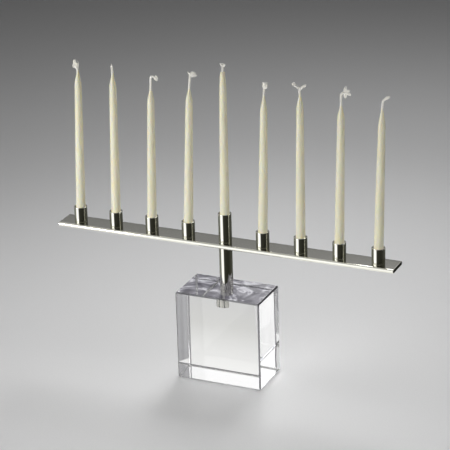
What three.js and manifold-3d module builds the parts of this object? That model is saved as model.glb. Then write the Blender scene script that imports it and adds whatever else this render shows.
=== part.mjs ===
// A nine-light candle stand: a flat polished bar carries a row of short candle cups and one taller
// middle cup, and a round post holds the bar above a clear glass block.
// Millimetres, +Z up. The origin is on the table under the middle of the block, with X along the bar.
import * as THREE from 'three';
import { mergeVertices } from 'three/addons/utils/BufferGeometryUtils.js';
import Module from 'manifold-3d';

const CLEARANCE = 0.3; // between pieces that touch on the real object
const ROUND_SEGMENTS = 24; // around a tube
const FINE_SEGMENTS = 16; // around a candle, a stud or a screw

// Glass block, drilled from the top for the post's socket
const BLOCK = { width: 86, depth: 49, height: 89, bevel: 1.2 };
const SOCKET_DEPTH = 14.5;

// Tube stock: the post, the cups and the middle cup are all cut from it
const TUBE_RADIUS = 6.35;
const POST_LENGTH = 45;
const BAR = { length: 342, width: 24.6, thickness: 4, edgeRadius: 1.9, endBevel: 0.6 };
const CUP = { spacing: 38.1, perSide: 4, height: 15, middleHeight: 28, bore: 5.2, boreDepth: 10.5 };
const RIM_BEVEL = 0.35;

// Threaded pieces, as plain cylinders of the thread's outer size
const STUD = { radius: 3, lowerLength: 20, upperLength: 23, chamfer: 0.5 };
const SCREW = { radius: 1.5, length: 6, headRadius: 2.9, headHeight: 1.6, headEdge: 0.2, hex: 1.15, hexDepth: 0.9 };
const SCREW_RECESS = 0.2; // head below the bar's underside

// Dipped candles: a taper with a drawn tip, round a cotton wick
const CANDLE = { baseRadius: 4.55, shoulderRadius: 3.6, neckRadius: 1.3, tipLength: 15, footRound: 0.4 };
const WICK = { radius: 0.7, bore: 1.0 };

// One row per candle, from -X to +X. length: foot to wax tip. lean: degrees towards +X, because
// each stands loosely in its cup. wick: the bare end's bends, as [x, y, z] from the wax tip.
const CANDLES = [
  { length: 148, lean: 2.0, wicks: [[[-0.4, 0, 2.5], [-2.2, 0.3, 5], [-2.6, 0.2, 9]]] },
  { length: 149, lean: 1.4, wicks: [[[-0.2, 0, 3], [-0.7, 0.2, 8]]] },
  { length: 139, lean: 1.9, wicks: [[[0.1, 0, 6], [0.7, 0.1, 9.3], [3, 0.3, 10.2], [5.4, 0.6, 9]]] },
  { length: 144, lean: 2.4, wicks: [[[0.3, 0, 8], [0.9, 0, 10.8], [3, -0.3, 11.7], [6, -0.6, 11.2]]] },
  { length: 149, lean: 0.8, blunt: true, wicks: [[[0, 0, 3], [0.1, 0, 6.8]]] },
  { length: 146, lean: 1.7, wicks: [[[0.3, 0, 4], [0.8, 0, 7], [1.4, 0.2, 9.4]]] },
  { length: 150, lean: 0.5, wicks: [
    [[0, 0, 3.6], [-3, -0.3, 6.2], [-6.4, -0.6, 8.7]],
    [[0, 0, 3.6], [2.4, 0.3, 5.9], [5, 0.6, 7.6]],
  ] },
  { length: 144, lean: 1.1, wicks: [[[0.2, 0, 7.8], [1, 0, 10.4], [3.5, 0.4, 11.4], [5, 0.6, 13.3]]] },
  { length: 145, lean: 1.4, wicks: [[[0.3, 0, 4.5], [1.2, 0, 6.8], [3.2, -0.2, 9.2], [5.2, -0.3, 11]]] },
];

const BAR_BOTTOM = BLOCK.height + POST_LENGTH;
const BAR_TOP = BAR_BOTTOM + BAR.thickness;

const wasm = await Module();
wasm.setup();

// ---- materials ----

const steel = new THREE.MeshStandardMaterial({ color: 0xd9d8d2, roughness: 0.07, metalness: 1 });
const plainSteel = new THREE.MeshStandardMaterial({ color: 0x9c9b96, roughness: 0.4, metalness: 1 });
const glass = new THREE.MeshStandardMaterial({
  color: 0xf2f4f3, roughness: 0.02, metalness: 0, transparent: true, opacity: 0.35,
});
const wax = new THREE.MeshStandardMaterial({ color: 0xeeead0, roughness: 0.45, metalness: 0 });
const cotton = new THREE.MeshStandardMaterial({ color: 0xeceae2, roughness: 0.95, metalness: 0 });

// ---- shape helpers ----

// Turns [radius, z] points about Z. The points run up the outside and back down the inside.
function turned(points, segments) {
  const profile = points.map(([radius, z]) => new THREE.Vector2(radius, z));
  return new THREE.LatheGeometry(profile, segments).rotateX(Math.PI / 2);
}

function rod(radius, z0, z1, segments, topRadius = radius) {
  const geometry = new THREE.CylinderGeometry(topRadius, radius, z1 - z0, segments);
  return geometry.rotateX(Math.PI / 2).translate(0, 0, (z0 + z1) / 2);
}

// A cylinder about Z with a small chamfer at both ends
function chamferedRod(radius, length, chamfer, segments) {
  return turned([
    [0, 0], [radius - chamfer, 0], [radius, chamfer],
    [radius, length - chamfer], [radius - chamfer, length], [0, length],
  ], segments);
}

function roundedRectangle(width, height, radius) {
  const x = width / 2 - radius;
  const y = height / 2 - radius;
  const shape = new THREE.Shape();
  shape.absarc(x, y, radius, 0, Math.PI / 2);
  shape.absarc(-x, y, radius, Math.PI / 2, Math.PI);
  shape.absarc(-x, -y, radius, Math.PI, 1.5 * Math.PI);
  shape.absarc(x, -y, radius, 1.5 * Math.PI, 2 * Math.PI);
  return shape;
}

function toSolid(geometry) {
  const bare = geometry.clone();
  bare.deleteAttribute('normal');
  bare.deleteAttribute('uv');
  const merged = mergeVertices(bare, 1e-4);
  const corners = [];
  for (let i = 0; i < merged.index.count; i += 3) {
    const [a, b, c] = [0, 1, 2].map((k) => merged.index.getX(i + k));
    if (a !== b && b !== c && c !== a) corners.push(a, b, c);
  }
  return new wasm.Manifold(new wasm.Mesh({
    numProp: 3,
    vertProperties: new Float32Array(merged.attributes.position.array),
    triVerts: new Uint32Array(corners),
  }));
}

function toGeometry(solid) {
  const mesh = solid.getMesh();
  const geometry = new THREE.BufferGeometry();
  geometry.setAttribute('position', new THREE.BufferAttribute(mesh.vertProperties, 3));
  geometry.setIndex(new THREE.BufferAttribute(mesh.triVerts, 1));
  geometry.computeVertexNormals();
  return geometry;
}

function cut(geometry, ...cutters) {
  return toGeometry(cutters.reduce((solid, tool) => solid.subtract(toSolid(tool)), toSolid(geometry)));
}

function join(...geometries) {
  return toGeometry(geometries.map(toSolid).reduce((whole, piece) => whole.add(piece)));
}

const model = new THREE.Group();

function add(name, geometry, material, x = 0, z = 0) {
  const mesh = new THREE.Mesh(geometry, material);
  mesh.name = name;
  mesh.position.set(x, 0, z);
  model.add(mesh);
  return mesh;
}

// ---- base: glass block, bonded socket and post ----

// The block is an extruded rectangle with a bevel on every edge and a blind bore in its top face.
function glassBlock() {
  const { width, depth, height, bevel } = BLOCK;
  const outline = new THREE.Shape([
    new THREE.Vector2(-width / 2 + bevel, -depth / 2),
    new THREE.Vector2(width / 2 - bevel, -depth / 2),
    new THREE.Vector2(width / 2, -depth / 2 + bevel),
    new THREE.Vector2(width / 2, depth / 2 - bevel),
    new THREE.Vector2(width / 2 - bevel, depth / 2),
    new THREE.Vector2(-width / 2 + bevel, depth / 2),
    new THREE.Vector2(-width / 2, depth / 2 - bevel),
    new THREE.Vector2(-width / 2, -depth / 2 + bevel),
  ]);
  const body = new THREE.ExtrudeGeometry(outline, {
    depth: height - 2 * bevel, bevelThickness: bevel, bevelSize: bevel, bevelOffset: -bevel, bevelSegments: 1,
  }).translate(0, 0, bevel);
  const bore = rod(TUBE_RADIUS + CLEARANCE, height - SOCKET_DEPTH, height + 1, ROUND_SEGMENTS);
  return cut(body, bore);
}

// The socket fills the block's bore and ends flush with the top face. A stud screws into it.
function socket() {
  const length = SOCKET_DEPTH - CLEARANCE;
  const hole = STUD.radius + CLEARANCE;
  const holeFloor = length - STUD.lowerLength / 2 - CLEARANCE;
  return turned([
    [0, 0], [TUBE_RADIUS - 0.5, 0], [TUBE_RADIUS, 0.5], [TUBE_RADIUS, length], [hole, length],
    [hole, holeFloor], [0, holeFloor],
  ], ROUND_SEGMENTS);
}

// The post is drilled at both ends for the studs.
function post() {
  const length = POST_LENGTH - 2 * CLEARANCE;
  const hole = STUD.radius + CLEARANCE;
  const lowerHole = STUD.lowerLength / 2;
  const upperHole = length - (STUD.upperLength - BAR.thickness) / 2;
  return turned([
    [0, lowerHole], [hole, lowerHole], [hole, 0],
    [TUBE_RADIUS - RIM_BEVEL, 0], [TUBE_RADIUS, RIM_BEVEL],
    [TUBE_RADIUS, length - RIM_BEVEL], [TUBE_RADIUS - RIM_BEVEL, length],
    [hole, length], [hole, upperHole], [0, upperHole],
  ], ROUND_SEGMENTS);
}

// ---- bar: flat strip with rounded long edges, drilled for the post stud and the cup screws ----

// A clearance hole with a countersink in the underside
function screwHole(x) {
  const mouth = SCREW.headRadius + CLEARANCE;
  const shank = SCREW.radius + CLEARANCE;
  return turned([
    [0, -1], [mouth, -1], [mouth, SCREW_RECESS + SCREW.headEdge], [shank, SCREW_RECESS + SCREW.headHeight],
    [shank, BAR.thickness + 1], [0, BAR.thickness + 1],
  ], FINE_SEGMENTS).translate(x, 0, 0);
}

function bar(cupPlaces) {
  const { length, width, thickness, edgeRadius, endBevel } = BAR;
  const strip = new THREE.ExtrudeGeometry(roundedRectangle(width, thickness, edgeRadius), {
    depth: length - 2 * endBevel, curveSegments: 4,
    bevelThickness: endBevel, bevelSize: endBevel, bevelOffset: -endBevel, bevelSegments: 2,
  });
  const lieAlongX = new THREE.Matrix4().makeBasis(
    new THREE.Vector3(0, 1, 0), new THREE.Vector3(0, 0, 1), new THREE.Vector3(1, 0, 0));
  strip.applyMatrix4(lieAlongX).translate(endBevel - length / 2, 0, thickness / 2);
  const studHole = rod(STUD.radius + CLEARANCE, -1, thickness + 1, FINE_SEGMENTS);
  return cut(strip, studHole, ...cupPlaces.map(screwHole));
}

// ---- cups and their fasteners ----

// A cup is a short tube with a solid floor, tapped from below.
function cup(height, tappedRadius, tappedDepth) {
  const floor = height - CUP.boreDepth;
  return turned([
    [0, tappedDepth], [tappedRadius, tappedDepth], [tappedRadius, 0], [TUBE_RADIUS, 0],
    [TUBE_RADIUS, height - RIM_BEVEL], [TUBE_RADIUS - RIM_BEVEL, height],
    [CUP.bore + RIM_BEVEL, height], [CUP.bore, height - RIM_BEVEL],
    [CUP.bore, floor + 0.8], [CUP.bore - 1.2, floor], [0, floor],
  ], ROUND_SEGMENTS);
}

// A countersunk screw, head down, with a hexagonal socket in the head
function cupScrew() {
  const { radius, length, headRadius, headHeight, headEdge, hex, hexDepth } = SCREW;
  const blank = turned([
    [0, 0], [headRadius, 0], [headRadius, headEdge], [radius, headHeight],
    [radius, length - 0.3], [radius - 0.3, length], [0, length],
  ], FINE_SEGMENTS);
  return cut(blank, rod(hex, -1, hexDepth, 6));
}

// ---- candles and wicks ----

// A candle is a taper that draws in to a narrow neck at the wick, with a bore for the wick.
// A blunt one is the same taper trimmed off square.
function candle({ length, blunt }) {
  const { baseRadius, shoulderRadius, neckRadius, tipLength, footRound } = CANDLE;
  const shoulder = length - (blunt ? 1.2 : tipLength);
  const points = [[WICK.bore, 0], [baseRadius - footRound, 0], [baseRadius, footRound]];
  for (const part of [0.25, 0.5, 0.75, 1]) {
    points.push([baseRadius + (shoulderRadius - baseRadius) * part ** 1.3, shoulder * part]);
  }
  if (blunt) {
    points.push([shoulderRadius - 0.9, length]);
  } else {
    for (const part of [0.25, 0.5, 0.75, 1]) {
      const drawn = (1 - Math.cos(Math.PI * part)) / 2;
      points.push([shoulderRadius + (neckRadius - shoulderRadius) * drawn, shoulder + tipLength * part]);
    }
  }
  points.push([WICK.bore, length], [WICK.bore, 0]);
  return turned(points, FINE_SEGMENTS);
}

function bentWick(bends, length) {
  const start = [new THREE.Vector3(0, 0, length - 2), new THREE.Vector3(0, 0, length)];
  const route = bends.map(([x, y, z]) => new THREE.Vector3(x, y, length + z));
  const section = new THREE.Shape().absarc(0, 0, WICK.radius, 0, 2 * Math.PI);
  return new THREE.ExtrudeGeometry(section, {
    extrudePath: new THREE.CatmullRomCurve3([...start, ...route], false, 'centripetal'), steps: 10, curveSegments: 4,
  });
}

// The wick runs the whole length of the candle and ends in its bare, bent part.
function wick({ length, wicks }) {
  const core = rod(WICK.radius, CLEARANCE, length - 1, 8);
  return join(core, ...wicks.map((bends) => bentWick(bends, length)));
}

// ---- assembly ----

const cupPlaces = [];
for (let step = -CUP.perSide; step <= CUP.perSide; step += 1) {
  if (step !== 0) cupPlaces.push(step * CUP.spacing);
}

add('glass_block', glassBlock(), glass);
add('socket', socket(), plainSteel, 0, BLOCK.height - SOCKET_DEPTH + CLEARANCE);
add('lower_stud', chamferedRod(STUD.radius, STUD.lowerLength - 2 * CLEARANCE, STUD.chamfer, FINE_SEGMENTS),
  plainSteel, 0, BLOCK.height - STUD.lowerLength / 2 + CLEARANCE);
add('post', post(), steel, 0, BLOCK.height + CLEARANCE);
add('upper_stud', chamferedRod(STUD.radius, STUD.upperLength, STUD.chamfer, FINE_SEGMENTS),
  plainSteel, 0, BAR_BOTTOM + BAR.thickness / 2 - STUD.upperLength / 2);
add('bar', bar(cupPlaces), steel, 0, BAR_BOTTOM);

const cupBase = BAR_TOP + CLEARANCE;
const tappedForStud = (STUD.upperLength - BAR.thickness) / 2;
add('middle_cup', cup(CUP.middleHeight - CLEARANCE, STUD.radius + CLEARANCE, tappedForStud), steel, 0, cupBase);
cupPlaces.forEach((x, index) => {
  const tapped = SCREW.length + SCREW_RECESS - BAR.thickness;
  add(`cup_${index + 1}`, cup(CUP.height - CLEARANCE, SCREW.radius + CLEARANCE, tapped), steel, x, cupBase);
  add(`cup_screw_${index + 1}`, cupScrew(), plainSteel, x, BAR_BOTTOM + SCREW_RECESS);
});

CANDLES.forEach((row, index) => {
  const step = index - CUP.perSide;
  const label = step === 0 ? 'middle' : `${index + 1 - (step > 0 ? 1 : 0)}`;
  const height = step === 0 ? CUP.middleHeight : CUP.height;
  const seat = BAR_TOP + height - CUP.boreDepth + CLEARANCE + CANDLE.baseRadius * Math.sin(row.lean * Math.PI / 180);
  for (const [name, geometry, material] of [['candle', candle(row), wax], ['wick', wick(row), cotton]]) {
    add(`${name}_${label}`, geometry, material, step * CUP.spacing, seat)
      .rotation.y = THREE.MathUtils.degToRad(row.lean);
  }
});

export default model;
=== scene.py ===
"""A nine-light candle stand in its studio: a crystal block, steel post, bar and cups, tapers and wicks."""
import math
import random

import bmesh
import bpy
from mathutils import Euler, Matrix, Vector


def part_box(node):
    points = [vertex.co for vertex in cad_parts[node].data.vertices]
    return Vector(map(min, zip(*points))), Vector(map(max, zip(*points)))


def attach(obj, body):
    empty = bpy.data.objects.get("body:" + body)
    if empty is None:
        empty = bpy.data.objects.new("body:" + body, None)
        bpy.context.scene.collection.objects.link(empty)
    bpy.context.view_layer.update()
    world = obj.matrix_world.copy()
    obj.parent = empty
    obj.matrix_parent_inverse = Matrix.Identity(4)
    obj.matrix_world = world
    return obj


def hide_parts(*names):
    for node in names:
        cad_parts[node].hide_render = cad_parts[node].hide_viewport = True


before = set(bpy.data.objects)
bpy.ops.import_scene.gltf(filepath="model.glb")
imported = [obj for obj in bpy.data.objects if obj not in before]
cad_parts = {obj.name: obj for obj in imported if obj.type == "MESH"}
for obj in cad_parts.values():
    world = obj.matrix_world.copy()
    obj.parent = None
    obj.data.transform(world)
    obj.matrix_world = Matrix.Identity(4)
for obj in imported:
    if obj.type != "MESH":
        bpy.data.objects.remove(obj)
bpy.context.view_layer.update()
bpy.ops.object.select_all(action="DESELECT")

# ---- Studio: camera ----
# A long lens on a stand, a little right of the front and looking slightly down. It is turned a
# touch about its own axis, as a hand-levelled camera is.
MM = 0.001
CAMERA_TURN = math.radians(24.5)
CAMERA_DIP = math.radians(21.8)
CAMERA_ROLL = math.radians(-1.66)
CAMERA_DISTANCE = 1.954
AIM_ABOVE_BAR = 16 * MM
LENS_LENGTH = 167  # Blender takes this and the sensor's width in mm
SENSOR_WIDTH = 36

bar_low, bar_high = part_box("bar")
aim = Vector((0, 0, bar_high.z + AIM_ABOVE_BAR))
turned = Matrix.Rotation(CAMERA_TURN, 3, "Z") @ Matrix.Rotation(math.pi / 2 - CAMERA_DIP, 3, "X")
place = aim + turned @ Vector((0, 0, CAMERA_DISTANCE))
rotation = (turned @ Matrix.Rotation(CAMERA_ROLL, 3, "Z")).to_euler()
bpy.ops.object.camera_add(location=place, rotation=rotation)
camera = bpy.context.object
camera.name = "studio_camera"
camera.data.lens = LENS_LENGTH
camera.data.sensor_width = SENSOR_WIDTH
bpy.context.scene.camera = camera

# ---- Studio: room ----
# A dark room with a light ceiling, seen only in metal and through glass. It is bright high up
# behind the stand and white at the front left, and the pale table fills what lies below.
ROOM_STRENGTH = 1.5
BACK = 114.3  # the direction behind the stand, as the camera looks, in degrees from +X towards +Y
PANEL_HALF_TURN = 36
PANEL_FADE = 6


def linear(code):
    """An sRGB hex colour such as "e8e6e0" as linear red, green, blue and alpha."""
    parts = [int(code[i : i + 2], 16) / 255 for i in (0, 2, 4)]
    return [p / 12.92 if p <= 0.04045 else ((p + 0.055) / 1.055) ** 2.4 for p in parts] + [1]


def add_node(tree, kind, settings, links):
    """Adds one node: settings are attributes or sockets by name, links are {socket: other socket}."""
    node = tree.nodes.new(kind)
    for name, value in settings.items():
        if isinstance(name, int) or name in node.inputs:
            node.inputs[name].default_value = value
        else:
            setattr(node, name, value)
    for name, other in links.items():
        tree.links.new(other, node.inputs[name])
    return node


def set_ramp(node, stops):
    """Gives a colour ramp node its stops, as (position, sRGB hex colour)."""
    elements = node.color_ramp.elements
    while len(elements) > 1:
        elements.remove(elements[-1])
    elements[0].position = stops[0][0]
    elements[0].color = linear(stops[0][1])
    for position, code in stops[1:]:
        elements.new(position).color = linear(code)


def round_the_room(stops):
    """Turns stops in degrees, counted from +X towards +Y, into places on the room's 0 to 1 turn."""
    return [((degrees + 180) / 360, code) for degrees, code in stops]


scene = bpy.context.scene
scene.view_settings.view_transform = "Standard"
scene.view_settings.look = "None"
world = bpy.data.worlds.new("studio_room")
world.use_nodes = True
world.cycles_visibility.diffuse = False
scene.world = world
tree = world.node_tree
view = add_node(tree, "ShaderNodeTexCoord", {}, {}).outputs["Generated"]
turn = add_node(tree, "ShaderNodeTexGradient", {"gradient_type": "RADIAL"}, {"Vector": view})
height = add_node(tree, "ShaderNodeSeparateXYZ", {}, {"Vector": view}).outputs["Z"]

around = add_node(tree, "ShaderNodeValToRGB", {}, {"Fac": turn.outputs["Fac"]})
wall_tones = [
    (-180, "72746f"),
    (-154, "6c6e69"),
    (-149, "ffffff"),
    (-110, "ffffff"),
    (-98, "30302a"),
    (-30, "24241e"),
    (10, "30302a"),
    (40, "44443e"),
    (54, "4a4a46"),
    (57, "242422"),
    (75, "242422"),
    (80, "7a7a76"),
    (120, "72746f"),
]
set_ramp(around, round_the_room(wall_tones))
behind = add_node(tree, "ShaderNodeValToRGB", {}, {"Fac": height})
rising_tones = [(0, "4a4a4a"), (0.30, "585858"), (0.36, "6c6c6c"), (0.397, "7a7a7a")]
rising_tones += [(0.412, "d2d2d2"), (0.5, "cccccc"), (0.56, "a6a6a6")]
set_ramp(behind, rising_tones)

panel = add_node(tree, "ShaderNodeValToRGB", {}, {"Fac": turn.outputs["Fac"]})
panel_edges = [
    (BACK - PANEL_HALF_TURN - PANEL_FADE, "000000"),
    (BACK - PANEL_HALF_TURN, "ffffff"),
    (BACK + PANEL_HALF_TURN, "ffffff"),
    (BACK + PANEL_HALF_TURN + PANEL_FADE, "000000"),
]
set_ramp(panel, round_the_room(panel_edges))
is_above = add_node(tree, "ShaderNodeMath", {"operation": "GREATER_THAN", 1: 0.0}, {0: height})
above_and_behind = {0: is_above.outputs[0], 1: panel.outputs["Color"]}
is_panel = add_node(tree, "ShaderNodeMath", {"operation": "MULTIPLY"}, above_and_behind)
ceiling = add_node(tree, "ShaderNodeValToRGB", {}, {"Fac": height})
set_ramp(ceiling, [(0.62, "000000"), (0.70, "ffffff")])
below = add_node(tree, "ShaderNodeMapRange", {"From Min": -0.45, "From Max": -0.56}, {"Value": height})

layers = {"Fac": is_panel.outputs[0], "Color1": around.outputs["Color"], "Color2": behind.outputs["Color"]}
room = add_node(tree, "ShaderNodeMixRGB", {}, layers)
for share, code in ((ceiling.outputs["Color"], "a6a6a4"), (below.outputs["Result"], "dcdcda")):
    layers = {"Fac": share, "Color1": room.outputs["Color"]}
    room = add_node(tree, "ShaderNodeMixRGB", {"Color2": linear(code)}, layers)
tree.links.new(room.outputs["Color"], tree.nodes["Background"].inputs["Color"])
tree.nodes["Background"].inputs["Strength"].default_value = ROOM_STRENGTH

# ---- Studio: table and backdrop ----
# A pale grey laminate table top, with a glowing grey backdrop standing round its far edge in place of paper.
# Only the camera sees the backdrop, so that it shows neither in the metal nor through the crystal.
TABLE_RADIUS = 9
TABLE_DROP = 0.2 * MM
TABLE_SPECKLE = 1.43 * MM
BACKDROP_RADIUS = 8.9
BACKDROP_HEIGHT = 9
BACKDROP_MIDDLE = 4.4


def start_material(name):
    """A new material and its surface shader, ready for settings."""
    material = bpy.data.materials.new(name)
    material.use_nodes = True
    return material, material.node_tree.nodes["Principled BSDF"]


def object_place(tree):
    """A spot's own place on its object, for a pattern to follow."""
    return add_node(tree, "ShaderNodeTexCoord", {}, {}).outputs["Object"]


def make_glow(shader, colour, strength=1):
    """Turns a surface into a plain glow in the colour that a node gives."""
    shader.id_data.links.new(colour, shader.inputs["Emission Color"])
    shader.inputs["Base Color"].default_value = linear("000000")
    shader.inputs["Specular IOR Level"].default_value = 0
    shader.inputs["Emission Strength"].default_value = strength


bpy.ops.mesh.primitive_circle_add(
    vertices=96, radius=TABLE_RADIUS, fill_type="NGON", location=(0, 0, -TABLE_DROP)
)
floor = bpy.context.object
floor.name = "studio_table"
floor.visible_glossy = False
# Moulded laminate: a barely seen speckle, and soft wide reflections.
laminate, shader = start_material("satin_grey_laminate")
tree = laminate.node_tree
speckle = {"Scale": 1 / TABLE_SPECKLE, "Detail": 3.0}
grain = add_node(tree, "ShaderNodeTexNoise", speckle, {"Vector": object_place(tree)})
tone = add_node(tree, "ShaderNodeValToRGB", {}, {"Fac": grain.outputs["Fac"]})
set_ramp(tone, [(0.3, "dededf"), (0.7, "e2e2e2")])
tree.links.new(tone.outputs["Color"], shader.inputs["Base Color"])
shader.inputs["Roughness"].default_value = 0.3
shader.inputs["Specular IOR Level"].default_value = 0.4
floor.data.materials.append(laminate)

bpy.ops.mesh.primitive_cylinder_add(
    vertices=96,
    radius=BACKDROP_RADIUS,
    depth=BACKDROP_HEIGHT,
    end_fill_type="NOTHING",
    location=(0, 0, BACKDROP_MIDDLE),
)
wall = bpy.context.object
bpy.ops.object.transform_apply(location=True, rotation=True, scale=True)
wall.name = "studio_wall"
wall.visible_diffuse = False
wall.visible_glossy = False
wall.visible_transmission = False
wall.visible_shadow = False
# Painted light and shade: a plain glow stands in for matt, lit backdrop paper. It is a soft grey, painted
# darker at the foot and lighter upwards.
backdrop_glow, shader = start_material("glowing_backdrop")
tree = backdrop_glow.node_tree
place = add_node(tree, "ShaderNodeSeparateXYZ", {}, {"Vector": object_place(tree)})
rise = add_node(tree, "ShaderNodeMapRange", {"From Max": 5.0}, {"Value": place.outputs["Z"]})
tone = add_node(tree, "ShaderNodeValToRGB", {}, {"Fac": rise.outputs["Result"]})
set_ramp(tone, [(0, "5a5a5a"), (0.5, "747474"), (1, "808080")])
make_glow(shader, tone.outputs["Color"])
wall.data.materials.append(backdrop_glow)

# ---- Studio: lights ----
# Five soft boxes. Two light only the table, and the low one of those, behind, gives the block its
# soft shadow. The high one behind lights everything. The two at the sides leave the table out.


def soft_box(name, place, target, width, height, power):
    """A rectangular light that faces its target."""
    aimed = (Vector(place) - Vector(target)).to_track_quat("Z", "Y").to_euler()
    bpy.ops.object.light_add(type="AREA", location=place, rotation=aimed)
    light = bpy.context.object
    light.name = name
    light.data.shape = "RECTANGLE"
    light.data.size = width
    light.data.size_y = height
    light.data.energy = power
    return light


table_light = soft_box("table_light", (0.0, -0.22, 0.76), (0.0, -0.22, 0), 0.6, 0.5, 3.6)
back = soft_box("back_soft_box", (-0.04, 0.68, 0.90), (0, 0, 0), 0.35, 0.35, 3.2)
low_back = soft_box("low_back_soft_box", (-0.10, 0.70, 0.70), (0, -0.12, 0), 0.35, 0.35, 0.5)
low_back.data.spread = math.radians(80)
left = soft_box("left_soft_box", (-0.80, -0.95, 0.24), (0, 0, 0.2), 0.5, 0.4, 9.8)
fill = soft_box("fill_soft_box", (1.3, -0.7, 0.5), (0, 0, 0.2), 0.8, 0.6, 5)
fill.visible_glossy = False
low_back.visible_glossy = False
for light in (table_light, left, fill):
    light.data.use_shadow = False

side_lit = bpy.data.collections.new("all_but_the_table")
side_lit.objects.link(floor)
side_lit.collection_objects[0].light_linking.link_state = "EXCLUDE"
left.light_linking.receiver_collection = side_lit
fill.light_linking.receiver_collection = side_lit
table_only = bpy.data.collections.new("lit_from_above")
table_only.objects.link(floor)
table_light.light_linking.receiver_collection = table_only
low_back.light_linking.receiver_collection = table_only
shade_makers = bpy.data.collections.new("throw_a_shadow")
low_back.light_linking.blocker_collection = shade_makers

# ---- Studio: cards ----
# Glowing white and grey cards lie close round the crystal, a grey one stands edge on behind it, and one lies
# under it. They light nothing and are seen only through the crystal: painted light and shade in place of the
# lit table seen through it.
LINE = Vector((-0.426, 0.9047, 0))  # level, along the camera's line of sight
GAP = 1.5 * MM
CARD_REACH = 190 * MM
FLAG_REACH = 18 * MM
FLAG_HEIGHT = 90 * MM
SIDE_CARD_LEFT = -110 * MM
SIDE_CARD_FRONT = -160 * MM
UNDER_CARD_DROP = 0.1 * MM
TONE_REACH = 200 * MM
SWIRL_SIZE = 29.4 * MM


def card(name, corners, tones, glow=1, swirled=False):
    """A glowing card, whose tone changes along +Y over its tone reach, or is swirled with painted light and
    shade.
    """
    mesh = bpy.data.meshes.new(name)
    mesh.from_pydata([Vector(c) for c in corners], [], [(0, 1, 2, 3)])
    sheet = bpy.data.objects.new(name, mesh)
    scene.collection.objects.link(sheet)
    material, shader = start_material(name)
    tree = material.node_tree
    if swirled:
        swirl_noise = {"Scale": 1 / SWIRL_SIZE, "Distortion": 2.4}
        noise = add_node(tree, "ShaderNodeTexNoise", swirl_noise, {"Vector": object_place(tree)})
        amount = noise.outputs["Fac"]
    else:
        place = add_node(tree, "ShaderNodeSeparateXYZ", {}, {"Vector": object_place(tree)})
        along = add_node(tree, "ShaderNodeMapRange", {"From Max": TONE_REACH}, {"Value": place.outputs["Y"]})
        amount = along.outputs["Result"]
    tone = add_node(tree, "ShaderNodeValToRGB", {}, {"Fac": amount})
    set_ramp(tone, tones)
    make_glow(shader, tone.outputs["Color"], glow)
    sheet.data.materials.append(material)
    sheet.visible_camera = False
    sheet.visible_diffuse = False
    sheet.visible_glossy = False
    sheet.visible_shadow = False
    return sheet


block_low, block_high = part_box("glass_block")
back_left = Vector((block_low.x, block_high.y + GAP, 0))
back_right = Vector((block_high.x - 13 * MM, block_high.y + GAP, 0))
# Painted light: the glow is brightest next to the block and dims away from it, for the light that the crystal
# gathers onto the table behind it.
glow_card = card(
    "glow_card_behind",
    [back_left, back_right, back_right + LINE * CARD_REACH, back_left + LINE * CARD_REACH],
    [(0.13, "eeeeec"), (0.34, "e4e4e2"), (0.60, "cfcfcc"), (1, "c4c4c4")],
)
flag_foot = Vector((block_low.x + 14 * MM, block_high.y + GAP, 0))
flag_end = flag_foot + LINE * FLAG_REACH
flag_rise = Vector((0, 0, FLAG_HEIGHT))
# Painted light and shade: grey stripes, seen through the crystal as a striped band.
painted_stripe_tones = [(0.13, "88888a"), (0.145, "a4a4a6"), (0.16, "929294")]
painted_stripe_tones += [(0.175, "a8a8aa"), (0.195, "949496"), (0.21, "808082")]
flag_corners = [flag_foot, flag_end, flag_end + flag_rise, flag_foot + flag_rise]
flag = card("grey_glow_strip_edge_on", flag_corners, painted_stripe_tones)
left_back = Vector((block_low.x - GAP, block_high.y - 1 * MM, 0))
left_middle = Vector((block_low.x - GAP, 4 * MM, 0))
grey_card = card(
    "grey_glow_card_left",
    [left_middle, left_back, left_back + LINE * CARD_REACH, left_middle + LINE * CARD_REACH],
    [(0, "a4a4a8")],
)
side_card = card(
    "white_glow_card_left",
    [
        (SIDE_CARD_LEFT, SIDE_CARD_FRONT, 0),
        (left_middle.x, SIDE_CARD_FRONT, 0),
        left_middle,
        (SIDE_CARD_LEFT, left_middle.y, 0),
    ],
    [(0, "fafafa")],
    glow=1.3,
)
# Painted light and shade under the crystal: violet-grey shade with a streak of near white, for the shaded
# table under the block and the bright swirls that show through its top.
painted_swirl_tones = [(0.36, "56545e"), (0.46, "7c7a84"), (0.53, "94929c")]
painted_swirl_tones += [(0.57, "f4f4fa"), (0.60, "a4a2ac"), (0.68, "605e68")]
under_card = card(
    "glow_card_under",
    [
        (block_low.x, block_low.y, -UNDER_CARD_DROP),
        (block_high.x, block_low.y, -UNDER_CARD_DROP),
        (block_high.x, block_high.y, -UNDER_CARD_DROP),
        (block_low.x, block_high.y, -UNDER_CARD_DROP),
    ],
    painted_swirl_tones,
    swirled=True,
)

# ---- Crystal block ----
# Optical crystal, sawn, ground and polished, with a narrow ground bevel on every edge. The faces
# are very slightly wavy from hand polishing, but the underside is lapped flat.
BEVEL = 1.25 * MM
EDGE_SOFTENING = 0.12 * MM
WAVE_HEIGHT = 0.18 * MM
WAVE_LENGTH = 24 * MM
FACE_CUTS = 28  # across each face, so that it can be wavy
SQUARE_EDGE = 1.0  # in radians: an edge that turns by more than this is a square one
BEVEL_EDGE = 0.5  # and by more than this, at least the edge of a bevel
BOND_OVERLAP = 0.05 * MM
CRYSTAL_IOR = 1.52
HAZE_SIZE = 16.7 * MM
GRIT_SIZE = 1.11 * MM


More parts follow.
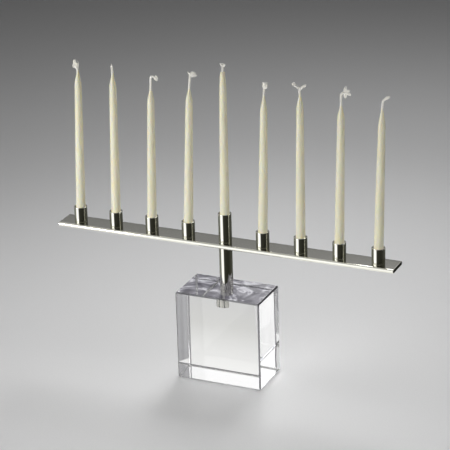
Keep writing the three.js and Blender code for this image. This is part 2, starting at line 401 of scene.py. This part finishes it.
def pick(kind, wanted):
    """In edit mode, selects just the faces or edges that the test accepts."""
    bpy.ops.mesh.select_mode(type="FACE" if kind == "faces" else "EDGE")
    bpy.ops.mesh.select_all(action="DESELECT")
    data = bpy.context.edit_object.data
    mesh = bmesh.from_edit_mesh(data)
    mesh.normal_update()
    for part in getattr(mesh, kind):
        part.select_set(bool(wanted(part)))
    mesh.select_flush_mode()
    bmesh.update_edit_mesh(data)


def edge_angle(edge):
    """How far the surface turns at an edge, in radians."""
    return edge.calc_face_angle(0)


def add_modifier(piece, kind, **settings):
    """Adds a modifier and applies it at once."""
    modifier = piece.modifiers.new(kind.lower(), kind)
    for name, value in settings.items():
        setattr(modifier, name, value)
    bpy.context.view_layer.objects.active = piece
    bpy.ops.object.modifier_apply(modifier=modifier.name)


def settle(piece, name, smooth_angle=30):
    """Puts a finished piece's place into its mesh, and smooths it up to an edge angle."""
    bpy.ops.object.select_all(action="DESELECT")
    piece.select_set(True)
    bpy.context.view_layer.objects.active = piece
    piece.name = name
    piece.data.name = name
    bpy.ops.object.transform_apply(location=True, rotation=True, scale=True)
    bpy.ops.object.shade_smooth_by_angle(angle=math.radians(smooth_angle))


def even_normals(piece):
    """Keeps flat faces looking flat right up to their rounded edges."""
    add_modifier(piece, "WEIGHTED_NORMAL", keep_sharp=True, weight=80)


bpy.ops.mesh.primitive_cube_add(size=1, location=(block_low + block_high) / 2, scale=block_high - block_low)
block = bpy.context.object
bpy.ops.object.transform_apply(location=True, rotation=True, scale=True)
bpy.ops.object.mode_set(mode="EDIT")
bpy.ops.mesh.select_all(action="SELECT")
bpy.ops.mesh.subdivide(number_cuts=FACE_CUTS)
pick("edges", lambda edge: edge_angle(edge) > SQUARE_EDGE)
bpy.ops.mesh.bevel(offset=BEVEL, segments=1, affect="EDGES")
pick("edges", lambda edge: edge_angle(edge) > BEVEL_EDGE)
bpy.ops.mesh.bevel(offset=EDGE_SOFTENING, segments=2, affect="EDGES")
bpy.ops.object.mode_set(mode="OBJECT")
waves = bpy.data.textures.new("polishing_waves", "CLOUDS")
waves.noise_scale = WAVE_LENGTH
waves.noise_depth = 1
add_modifier(block, "DISPLACE", texture=waves, texture_coords="LOCAL", strength=WAVE_HEIGHT, mid_level=0.5)
bpy.ops.object.mode_set(mode="EDIT")
pick("faces", lambda face: face.normal.z < -0.99)
bpy.ops.transform.resize(value=(1, 1, 0), center_override=(0, 0, block_low.z))
bpy.ops.object.mode_set(mode="OBJECT")
settle(block, "crystal_block", 20)

socket_low, socket_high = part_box("socket")
tube_radius = (socket_high.x - socket_low.x) / 2
bore_floor = socket_low.z + BOND_OVERLAP
bore_length = 30 * MM  # runs on out of the top
bpy.ops.mesh.primitive_cylinder_add(
    vertices=96,
    radius=tube_radius - BOND_OVERLAP,
    depth=bore_length,
    location=(0, 0, bore_floor + bore_length / 2),
)
bore = bpy.context.object
add_modifier(block, "BOOLEAN", object=bore, operation="DIFFERENCE", solver="EXACT")
bpy.data.objects.remove(bore)
even_normals(block)

# Polished optical crystal: quite colourless, so bright faces show what stands behind them, with
# the least trace of haze left by hand wiping.
crystal, shader = start_material("polished_optical_crystal")
tree = crystal.node_tree
wiping = {"Scale": 1 / HAZE_SIZE, "Detail": 2.0}
haze = add_node(tree, "ShaderNodeTexNoise", wiping, {"Vector": object_place(tree)})
faint = {"To Min": 0.0, "To Max": 0.012}
dulled = add_node(tree, "ShaderNodeMapRange", faint, {"Value": haze.outputs["Fac"]})
tree.links.new(dulled.outputs["Result"], shader.inputs["Roughness"])
shader.inputs["Base Color"].default_value = linear("fdfdfd")
shader.inputs["Transmission Weight"].default_value = 1
shader.inputs["IOR"].default_value = CRYSTAL_IOR

# Crystal as the grinding wheel leaves it: frosted, and tinted dark grey as painted shade, so that each edge
# reads as a soft dark line. The grit is drawn coarser than a real wheel's, so that it shows.
shaded_ground_edge, shader = start_material("ground_bevel_painted_grey")
tree = shaded_ground_edge.node_tree
grinding = {"Scale": 1 / GRIT_SIZE, "Detail": 2.0}
grit = add_node(tree, "ShaderNodeTexNoise", grinding, {"Vector": object_place(tree)})
frosted = {"To Min": 0.3, "To Max": 0.45}
rough = add_node(tree, "ShaderNodeMapRange", frosted, {"Value": grit.outputs["Fac"]})
tree.links.new(rough.outputs["Result"], shader.inputs["Roughness"])
# Painted shade: the dark grey tint darkens the light that passes through each bevel.
shader.inputs["Base Color"].default_value = linear("5a5a60")
shader.inputs["Transmission Weight"].default_value = 1
shader.inputs["IOR"].default_value = CRYSTAL_IOR

block.data.materials.append(crystal)
block.data.materials.append(shaded_ground_edge)
bpy.ops.object.select_all(action="DESELECT")
block.select_set(True)
bpy.context.view_layer.objects.active = block
bpy.ops.object.mode_set(mode="EDIT")
bevels_from = tube_radius + 3 * MM  # from the middle, so that the bore's wall stays polished
pick(
    "faces",
    lambda face: max(abs(part) for part in face.normal) < 0.97
    and face.calc_center_median().xy.length > bevels_from,
)
block.active_material_index = 1
bpy.ops.object.material_slot_assign()
bpy.ops.object.mode_set(mode="OBJECT")
shade_makers.objects.link(block)
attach(block, "stand")
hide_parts("glass_block")

# ---- Socket, post and studs ----
# Round bar, parted off, drilled at the ends and polished. The socket is bonded into the crystal
# and the studs hold the post to it and to the bar. Only the studs stay as turned.
ROD_SIDES = 96
RIM_ROUND = 0.25 * MM
STUD_HOLE = 3.3 * MM
HOLE_DEPTH = 10 * MM
WIPE_SIZE = 14.3 * MM
SWELL_SIZE = 8.33 * MM
SWELL_HEIGHT = 0.01 * MM
RING_SPACING = 1.57 * MM


def turn_rod(low, high, radius, x=0.0):
    """A length of round bar, standing at x, left in edit mode."""
    bpy.ops.mesh.primitive_cylinder_add(
        vertices=ROD_SIDES, radius=radius, depth=high - low, location=(x, 0, (low + high) / 2)
    )
    rod = bpy.context.object
    bpy.ops.object.transform_apply(location=True, rotation=True, scale=True)
    bpy.ops.object.mode_set(mode="EDIT")
    return rod


def drill(direction, radius, hole_radius, depth):
    """In edit mode, sinks a flat-floored hole into the top (1) or bottom (-1) end."""

    def is_end(face):
        return face.normal.z * direction > 0.9 and len(face.verts) > 4

    pick("faces", is_end)
    bpy.ops.mesh.inset(thickness=radius - hole_radius)
    pick("faces", is_end)
    bpy.ops.mesh.extrude_region_move(TRANSFORM_OT_translate={"value": (0, 0, -direction * depth)})


def break_edges(width, segments):
    """Rounds every sharp edge of the piece in edit mode, and goes back to object mode."""
    pick("edges", lambda edge: edge_angle(edge) > SQUARE_EDGE)
    bpy.ops.mesh.bevel(offset=width, segments=segments, affect="EDGES")
    bpy.ops.object.mode_set(mode="OBJECT")


socket = turn_rod(socket_low.z, socket_high.z, tube_radius)
drill(1, tube_radius, STUD_HOLE, HOLE_DEPTH)
break_edges(RIM_ROUND, 3)
settle(socket, "bonded_socket")
even_normals(socket)
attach(socket, "stand")
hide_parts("socket")

post = turn_rod(block_high.z, bar_low.z, tube_radius)
drill(1, tube_radius, STUD_HOLE, HOLE_DEPTH)
drill(-1, tube_radius, STUD_HOLE, HOLE_DEPTH)
break_edges(RIM_ROUND, 3)
settle(post, "steel_post")
even_normals(post)
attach(post, "stand")
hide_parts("post")


def polished_steel():
    """Stainless steel, buffed on a wheel: a mirror, very slightly wavy, with faintly duller patches."""
    material, shader = start_material("buffed_stainless_steel")
    tree = material.node_tree
    place = object_place(tree)
    wipe = add_node(tree, "ShaderNodeTexNoise", {"Scale": 1 / WIPE_SIZE, "Detail": 3.0}, {"Vector": place})
    polish = {"To Min": 0.03, "To Max": 0.07}
    sheen = add_node(tree, "ShaderNodeMapRange", polish, {"Value": wipe.outputs["Fac"]})
    tone = add_node(tree, "ShaderNodeValToRGB", {}, {"Fac": wipe.outputs["Fac"]})
    set_ramp(tone, [(0, "dad9d0"), (1, "dfded6")])
    swell = add_node(tree, "ShaderNodeTexNoise", {"Scale": 1 / SWELL_SIZE, "Detail": 1.0}, {"Vector": place})
    waviness = {"Strength": 0.2, "Distance": SWELL_HEIGHT}
    bump = add_node(tree, "ShaderNodeBump", waviness, {"Height": swell.outputs["Fac"]})
    tree.links.new(tone.outputs["Color"], shader.inputs["Base Color"])
    tree.links.new(sheen.outputs["Result"], shader.inputs["Roughness"])
    tree.links.new(bump.outputs["Normal"], shader.inputs["Normal"])
    shader.inputs["Metallic"].default_value = 1
    return material


def turned_steel():
    """Stainless steel as it leaves the lathe: grey and satin, with rings round it.

    The rings are drawn coarser than a real tool leaves them, so that they show.
    """
    material, shader = start_material("turned_stainless_steel")
    tree = material.node_tree
    # A wave texture at scale 1 repeats every 2 pi / 20 metres.
    banding = {"Scale": math.pi / 10 / RING_SPACING, "bands_direction": "Z"}
    rings = add_node(tree, "ShaderNodeTexWave", banding, {"Vector": object_place(tree)})
    satin = {"To Min": 0.22, "To Max": 0.34}
    sheen = add_node(tree, "ShaderNodeMapRange", satin, {"Value": rings.outputs["Fac"]})
    tone = add_node(tree, "ShaderNodeValToRGB", {}, {"Fac": rings.outputs["Fac"]})
    set_ramp(tone, [(0, "b4b3ab"), (1, "c4c3bb")])
    tree.links.new(tone.outputs["Color"], shader.inputs["Base Color"])
    tree.links.new(sheen.outputs["Result"], shader.inputs["Roughness"])
    shader.inputs["Metallic"].default_value = 1
    return material


steel = polished_steel()
plain_steel = turned_steel()
socket.data.materials.append(steel)
post.data.materials.append(steel)


def refinish(node, material):
    """Gives a CAD node that stays in view its finished material."""
    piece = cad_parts[node]
    piece.data.materials.clear()
    piece.data.materials.append(material)


for node in ("lower_stud", "upper_stud"):
    refinish(node, plain_steel)

# ---- Bar ----
# Flat stainless strip with its long edges rounded and its ends just broken, mirror polished all
# over. It is drilled and countersunk from below for the cup screws.
EDGE_RADIUS = 1.9 * MM
END_ROUND = 0.5 * MM
SCREW_MOUTH = 2.95 * MM
MOUTH_DEPTH = 0.4 * MM
COUNTERSINK_DEPTH = 1.8 * MM
SCREW_SHANK = 1.55 * MM
STUD_CLEARANCE = 3.05 * MM
CUT_PAST = 1 * MM  # how far a drill runs past the bar

bpy.ops.mesh.primitive_cube_add(size=1, location=(bar_low + bar_high) / 2, scale=bar_high - bar_low)
bar = bpy.context.object
bpy.ops.object.transform_apply(location=True, rotation=True, scale=True)
bpy.ops.object.mode_set(mode="EDIT")
pick("edges", lambda edge: abs(edge.verts[0].co.x - edge.verts[1].co.x) > 100 * MM)
bpy.ops.mesh.bevel(offset=EDGE_RADIUS, segments=10, affect="EDGES")
pick("edges", lambda edge: edge_angle(edge) > SQUARE_EDGE)
bpy.ops.mesh.bevel(offset=END_ROUND, segments=4, affect="EDGES")
bpy.ops.object.mode_set(mode="OBJECT")


def grow(height, radius):
    """In edit mode, extrudes the selected top face up to a height and scales it to a radius."""
    mesh = bmesh.from_edit_mesh(bpy.context.edit_object.data)
    ring = [v.co.copy() for v in mesh.verts if v.select]
    rise = height - ring[0].z
    now = max(point.xy.length for point in ring)
    bpy.ops.mesh.extrude_region_move(TRANSFORM_OT_translate={"value": (0, 0, rise)})
    bpy.ops.transform.resize(value=(radius / now, radius / now, 1), center_override=(0, 0, height))


countersink = turn_rod(bar_low.z - CUT_PAST, bar_low.z + MOUTH_DEPTH, SCREW_MOUTH)
pick("faces", lambda face: face.normal.z > 0.9)
grow(bar_low.z + COUNTERSINK_DEPTH, SCREW_SHANK)
grow(bar_high.z + CUT_PAST, SCREW_SHANK)
bpy.ops.object.mode_set(mode="OBJECT")
for number in range(1, 9):
    low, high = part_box(f"cup_screw_{number}")
    countersink.location.x = (low.x + high.x) / 2
    add_modifier(bar, "BOOLEAN", object=countersink, operation="DIFFERENCE", solver="EXACT")
drill_bit = turn_rod(bar_low.z - CUT_PAST, bar_high.z + CUT_PAST, STUD_CLEARANCE)
bpy.ops.object.mode_set(mode="OBJECT")
add_modifier(bar, "BOOLEAN", object=drill_bit, operation="DIFFERENCE", solver="EXACT")
bpy.data.objects.remove(countersink)
bpy.data.objects.remove(drill_bit)
settle(bar, "steel_bar")
even_normals(bar)
bar.data.materials.append(steel)
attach(bar, "stand")
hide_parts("bar")

# ---- Candle cups ----
# Nine lengths of round bar, bored for a candle, drilled from below and polished, with softly
# rounded rims. Each is held on the bar by its own screw or, in the middle, by the post's stud.
CUP_BORE = 5.2 * MM
BORE_DEPTH = 10.5 * MM
SCREW_HOLE = 1.8 * MM
SCREW_HOLE_DEPTH = 2.2 * MM
STUD_HOLE_DEPTH = 9.5 * MM
CUP_RIM_ROUND = 0.3 * MM


def make_cup(node, name, hole_radius, hole_depth):
    """One cup, cut from bar, drilled at both ends and polished."""
    low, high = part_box(node)
    radius = (high.x - low.x) / 2
    cup = turn_rod(bar_high.z, high.z, radius, (low.x + high.x) / 2)
    drill(1, radius, CUP_BORE, BORE_DEPTH)
    drill(-1, radius, hole_radius, hole_depth)
    break_edges(CUP_RIM_ROUND, 4)
    settle(cup, name)
    even_normals(cup)
    cup.data.materials.append(steel)
    return cup


def fix_to_bar(cup, node):
    """Makes a cup part of the stand, in the place of its CAD node."""
    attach(cup, "stand")
    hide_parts(node)


middle_cup = make_cup("middle_cup", "middle_candle_cup", STUD_HOLE, STUD_HOLE_DEPTH)
fix_to_bar(middle_cup, "middle_cup")
first_cup = make_cup("cup_1", "candle_cup_1", SCREW_HOLE, SCREW_HOLE_DEPTH)
for number in range(2, 9):
    cup = first_cup.copy()
    cup.data = first_cup.data.copy()
    scene.collection.objects.link(cup)
    cup.location.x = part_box(f"cup_{number}")[0].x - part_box("cup_1")[0].x
    settle(cup, f"candle_cup_{number}")
    fix_to_bar(cup, f"cup_{number}")
fix_to_bar(first_cup, "cup_1")
for number in range(1, 9):
    refinish(f"cup_screw_{number}", plain_steel)

# ---- Candles ----
# Dipped tapers of ivory wax. Each is a slow taper that draws in to the wick in its last
# centimetre or so, and stands a degree or two off upright in its cup.
TAPER_SIDES = 48
FOOT_RADIUS = 4.55 * MM
SHOULDER_RADIUS = 3.35 * MM
NECK_RADIUS = 0.95 * MM
TRIMMED_RADIUS = 2.35 * MM
FOOT_ROUND = 0.5 * MM
FOOT_HEIGHT = 2 * MM
WALL_RINGS = 24
TIP_RINGS = 14
CLOUD_SIZE = 11.1 * MM
RIPPLE_HEIGHT = 0.05 * MM
CANDLES = {  # length and drawn tip in mm, lean in degrees
    "1": (148, 15, 2.0),
    "2": (149, 15, 1.4),
    "3": (139, 15, 1.9),
    "4": (144, 17, 2.4),
    "middle": (148.6, 22, 0.8),
    "5": (146, 20, 1.7),
    "6": (150, 17, 0.5),
    "7": (144, 15, 1.1),
    "8": (145, 20, 1.4),
}


def candle_seat(label):
    """The middle of a candle's foot, from its cup and its own CAD box."""
    cup_low, cup_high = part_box("middle_cup" if label == "middle" else f"cup_{label}")
    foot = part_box(f"candle_{label}")[0].z + FOOT_RADIUS * math.sin(math.radians(CANDLES[label][2]))
    return Vector(((cup_low.x + cup_high.x) / 2, 0, foot))


def make_candle(label, length, tip, lean):
    """One taper, shaped upright from foot to tip and then leant in its cup."""
    trimmed = label == "middle"
    end_radius = TRIMMED_RADIUS if trimmed else NECK_RADIUS
    shoulder = (length - tip) * MM
    bpy.ops.mesh.primitive_cylinder_add(
        vertices=TAPER_SIDES, radius=FOOT_RADIUS, depth=FOOT_HEIGHT, location=(0, 0, FOOT_HEIGHT / 2)
    )
    candle = bpy.context.object
    bpy.ops.object.transform_apply(location=True, rotation=True, scale=True)
    bpy.ops.object.mode_set(mode="EDIT")
    pick("faces", lambda face: face.normal.z > 0.9)
    for step in range(1, WALL_RINGS + 1):
        part = step / WALL_RINGS
        radius = FOOT_RADIUS + (SHOULDER_RADIUS - FOOT_RADIUS) * part**1.3
        grow(FOOT_HEIGHT + (shoulder - FOOT_HEIGHT) * part, radius)
    for step in range(1, TIP_RINGS + 1):
        part = step / TIP_RINGS
        drawn = part**1.6 if trimmed else (1 - math.cos(math.pi * part)) / 2
        radius = SHOULDER_RADIUS + (end_radius - SHOULDER_RADIUS) * drawn
        grow(shoulder + tip * MM * part, radius)
    pick("edges", lambda edge: edge_angle(edge) > SQUARE_EDGE and edge.verts[0].co.z < FOOT_HEIGHT / 2)
    bpy.ops.mesh.bevel(offset=FOOT_ROUND, segments=3, affect="EDGES")
    bpy.ops.object.mode_set(mode="OBJECT")
    add_modifier(candle, "SUBSURF", levels=1, render_levels=1)
    candle.rotation_euler = Euler((0, math.radians(lean), 0))
    candle.location = candle_seat(label)
    settle(candle, f"taper_candle_{label}", 50)
    return candle


def dipped_wax():
    """Dipped candle wax: ivory, softly glowing inside, with a low uneven sheen and a faintly rippled skin."""
    material, shader = start_material("dipped_ivory_wax")
    tree = material.node_tree
    clouding = {"Scale": 1 / CLOUD_SIZE, "Detail": 4.0}
    cloud = add_node(tree, "ShaderNodeTexNoise", clouding, {"Vector": object_place(tree)})
    tone = add_node(tree, "ShaderNodeValToRGB", {}, {"Fac": cloud.outputs["Fac"]})
    set_ramp(tone, [(0, "fbf1d5"), (1, "fdf6e0")])
    waxiness = {"To Min": 0.38, "To Max": 0.5}
    sheen = add_node(tree, "ShaderNodeMapRange", waxiness, {"Value": cloud.outputs["Fac"]})
    ripples = {"Strength": 0.3, "Distance": RIPPLE_HEIGHT}
    bump = add_node(tree, "ShaderNodeBump", ripples, {"Height": cloud.outputs["Fac"]})
    tree.links.new(tone.outputs["Color"], shader.inputs["Base Color"])
    tree.links.new(sheen.outputs["Result"], shader.inputs["Roughness"])
    tree.links.new(bump.outputs["Normal"], shader.inputs["Normal"])
    shader.inputs["Subsurface Weight"].default_value = 0.6
    shader.inputs["Subsurface Radius"].default_value = (1.0, 0.9, 0.6)
    shader.inputs["Subsurface Scale"].default_value = 2.5 * MM
    shader.inputs["IOR"].default_value = 1.44
    return material


wax = dipped_wax()
for label, (length, tip, lean) in CANDLES.items():
    candle = make_candle(label, length, tip, lean)
    candle.data.materials.append(wax)
    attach(candle, f"lift_out_candle_{label}")
    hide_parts(f"candle_{label}")

# ---- Wicks ----
# Cotton in three plies. Wax has crept up each wick and stiffened it, so it stands in whatever bend
# it was left in, and its cut end is teased open into loose fibres.
FLUFF_SIZE = 0.556 * MM
FLUFF_HEIGHT = 0.1 * MM
# The sizes from here on are in mm. A ply's middle coils round the braid at the braid's radius.
BRAID_RADIUS = 0.6
BRAID_PITCH = 4.6
BRAID_STEP = 0.6
PLY_RADIUS = 0.7
PLY_END_RADIUS = 0.63
FIBRE_RADIUS = 0.448
FIBRE_END_RADIUS = 0.14
# Each wick is drawn from its candle's tip: the bends of its braids, then its tufts as start, end,
# how far the fibres spread and how many there are.
WICKS = {
    "1": (
        [[(0, 0, -4), (-0.2, 0, -1), (-0.5, 0, 1.2)]],
        [
            ((-0.3, 0, 0.2), (-3.3, 0, 9.4), 2.0, 34),
            ((-2.6, 0, 8.6), (-4.0, 0, 1.0), 1.3, 26),
            ((-0.4, 0, 0.8), (-0.9, 0, 7.2), 1.0, 12),
        ],
    ),
    "2": ([[(0, 0, -4), (-0.3, 0, 2), (-0.8, 0, 6)]], [((-0.6, 0, 3.0), (-0.9, 0, 8.4), 0.8, 14)]),
    "3": (
        [[(0, 0, -4), (0.1, 0, 3), (0, 0, 8), (0.5, 0, 10.4), (3.2, 0, 10.8), (4.6, 0, 10.2)]],
        [((3.4, 0, 10.4), (6.6, 0, 7.9), 1.7, 30), ((3.6, 0, 10.2), (6.5, 0, 11.2), 0.9, 10)],
    ),
    "4": (
        [[(0, 0, -4), (0.3, 0, 5), (0.6, 0, 10), (0.9, 0, 12.4), (3, 0, 12.6)]],
        [
            ((0.6, 0, 11.6), (6.9, 0, 11.4), 2.0, 38),
            ((0.9, 0, 11.4), (-1.6, 0, 13.8), 0.7, 8),
            ((1.2, 0, 11.6), (3.4, 0, 14.2), 1.2, 16),
        ],
    ),
    "middle": (
        [[(0, 0, -3.4), (0, 0, 3), (0.1, 0, 6)]],
        [
            ((0, 0, 4.4), (-2.4, 0, 7.6), 0.8, 12),
            ((0, 0, 4.4), (2.5, 0, 7.6), 0.8, 12),
            ((0, 0, 4.4), (0, 0, 7.6), 1.1, 14),
        ],
    ),
    "5": (
        [[(0, 0, -4), (0.2, 0, 2), (0.6, 0, 5.6)]],
        [
            ((0.5, 0, 4.2), (1.6, 0, 9.2), 1.8, 50),
            ((0.8, 0, 6.0), (-1.6, 0, 9.8), 0.9, 10),
            ((0.6, 0, 5.0), (3.2, 0, 5.6), 1.1, 18),
        ],
    ),
    "6": (
        [
            [(0, 0, -4), (0, 0, 0), (-0.2, 0, 3.2), (-3, 0, 5.0), (-5.6, 0, 6.6)],
            [(0, 0, 1), (0.2, 0, 3.2), (2.5, 0, 5.2), (4.9, 0, 7)],
        ],
        [
            ((-4.4, 0, 6.0), (-7.0, 0, 7.4), 1.2, 16),
            ((-4.8, 0, 6.2), (-5.2, 0, 8.4), 0.6, 8),
            ((3.6, 0, 5.8), (5.8, 0, 7.6), 1.2, 18),
        ],
    ),
    "7": (
        [[(0, 0, -4), (-0.1, 0, 4), (-0.1, 0, 8.4), (1.4, 0, 10), (3.6, 0, 10.6)]],
        [
            ((3.2, 0, 10.4), (4.2, 0, 16), 1.2, 16),
            ((3.2, 0, 10.5), (9.4, 0, 8.4), 1.3, 17),
            ((3.2, 0, 10.5), (4.7, 0, 5.4), 1.2, 14),
            ((3.2, 0, 10.5), (8.2, 0, 12.8), 1.3, 14),
            ((3.2, 0, 10.5), (5.6, 0, 10.8), 2.2, 16),
        ],
    ),
    "8": (
        [[(0, 0, -4), (0.2, 0, 2), (0.6, 0, 5.8), (2.6, 0, 7.6), (5.2, 0, 9.4)]],
        [((2.4, 0, 7.2), (6.6, 0, 10.4), 1.1, 34)],
    ),
}
chance = random.Random(9)


def add_thread(curve, points, start_radius, end_radius):
    """A smooth round thread through points in mm, tapering from one radius to the other."""
    spline = curve.splines.new("NURBS")
    spline.points.add(len(points) - 1)
    for index, point in enumerate(points):
        part = index / (len(points) - 1)
        spline.points[index].co = (*(Vector(point) * MM), 1)
        spline.points[index].radius = start_radius + (end_radius - start_radius) * part
    spline.order_u = 3
    spline.use_endpoint_u = True


def add_braid(curve, bends):
    """Three plies laid round a line that follows the bends."""
    corners = [Vector(b) for b in bends]
    lengths = [(b - a).length for a, b in zip(corners, corners[1:])]
    count = max(6, round(sum(lengths) / BRAID_STEP))
    for ply in range(3):
        points = []
        for step in range(count + 1):
            along = sum(lengths) * step / count
            leg = 0
            rest = along
            while leg < len(lengths) - 1 and rest > lengths[leg]:
                rest -= lengths[leg]
                leg += 1
            direction = (corners[leg + 1] - corners[leg]).normalized()
            side = direction.cross(Vector((0, 1, 0))).normalized()
            angle = 2 * math.pi * (along / BRAID_PITCH + ply / 3)
            offset = (side * math.cos(angle) + Vector((0, 1, 0)) * math.sin(angle)) * BRAID_RADIUS
            points.append(corners[leg] + direction * rest + offset)
        add_thread(curve, points, PLY_RADIUS, PLY_END_RADIUS)


def add_tuft(curve, start, end, spread, count):
    """Loose fibres from one point to about another, each with its own bow, curl, reach and end."""
    start = Vector(start)
    end = Vector(end)
    for _ in range(count):
        bow = Vector([chance.uniform(-1, 1) * spread for _ in range(3)])
        stop = Vector([chance.uniform(-1, 1) * spread * 0.55 for _ in range(3)])
        curl = Vector([chance.uniform(-1, 1) * spread * 0.5 for _ in range(3)])
        line = end - start
        reach = chance.uniform(0.72, 1.02)
        points = [
            start + bow * 0.2,
            start + line * 0.35 + bow * 0.8,
            start + line * 0.75 * reach + bow + curl,
            start + line * reach + stop + bow * 0.35,
        ]
        add_thread(curve, points, FIBRE_RADIUS, FIBRE_END_RADIUS)


def make_wick(label, braids, tufts):
    """One wick, laid out from its candle's tip, then carried up to it and leant with it."""
    curve = bpy.data.curves.new(f"cotton_wick_{label}", "CURVE")
    curve.dimensions = "3D"
    curve.bevel_depth = 1 * MM
    curve.bevel_resolution = 1
    curve.resolution_u = 3
    curve.use_fill_caps = True
    for bends in braids:
        add_braid(curve, bends)
    for tuft in tufts:
        add_tuft(curve, *tuft)
    wick = bpy.data.objects.new(curve.name, curve)
    scene.collection.objects.link(wick)
    length, _, lean = CANDLES[label]
    turn = Matrix.Rotation(math.radians(lean), 4, "Y")
    up_to_tip = Matrix.Translation((0, 0, length * MM))
    wick.matrix_world = Matrix.Translation(candle_seat(label)) @ turn @ up_to_tip
    bpy.ops.object.select_all(action="DESELECT")
    wick.select_set(True)
    bpy.context.view_layer.objects.active = wick
    bpy.ops.object.convert(target="MESH")
    settle(bpy.context.object, f"cotton_wick_{label}", 60)
    return bpy.context.object


def braided_cotton():
    """Undyed braided cotton: off-white and quite matt, with a soft bloom of loose fibre at its edges.

    The fluff is drawn coarser than real cotton's, so that it shows.
    """
    material, shader = start_material("braided_cotton")
    tree = material.node_tree
    fluff = {"Scale": 1 / FLUFF_SIZE, "Detail": 3.0}
    fibre = add_node(tree, "ShaderNodeTexNoise", fluff, {"Vector": object_place(tree)})
    tone = add_node(tree, "ShaderNodeValToRGB", {}, {"Fac": fibre.outputs["Fac"]})
    set_ramp(tone, [(0.3, "f0ede4"), (0.7, "fbf9f2")])
    nap = {"Strength": 0.5, "Distance": FLUFF_HEIGHT}
    bump = add_node(tree, "ShaderNodeBump", nap, {"Height": fibre.outputs["Fac"]})
    tree.links.new(tone.outputs["Color"], shader.inputs["Base Color"])
    tree.links.new(bump.outputs["Normal"], shader.inputs["Normal"])
    shader.inputs["Roughness"].default_value = 0.92
    shader.inputs["Subsurface Weight"].default_value = 0.35
    shader.inputs["Subsurface Radius"].default_value = (1.0, 1.0, 0.9)
    shader.inputs["Subsurface Scale"].default_value = 0.8 * MM
    shader.inputs["Specular IOR Level"].default_value = 0.2
    shader.inputs["Sheen Weight"].default_value = 0.5
    shader.inputs["Sheen Roughness"].default_value = 0.6
    return material


cotton = braided_cotton()
for label, (braids, tufts) in WICKS.items():
    wick = make_wick(label, braids, tufts)
    wick.data.materials.append(cotton)
    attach(wick, f"lift_out_candle_{label}")
    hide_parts(f"wick_{label}")
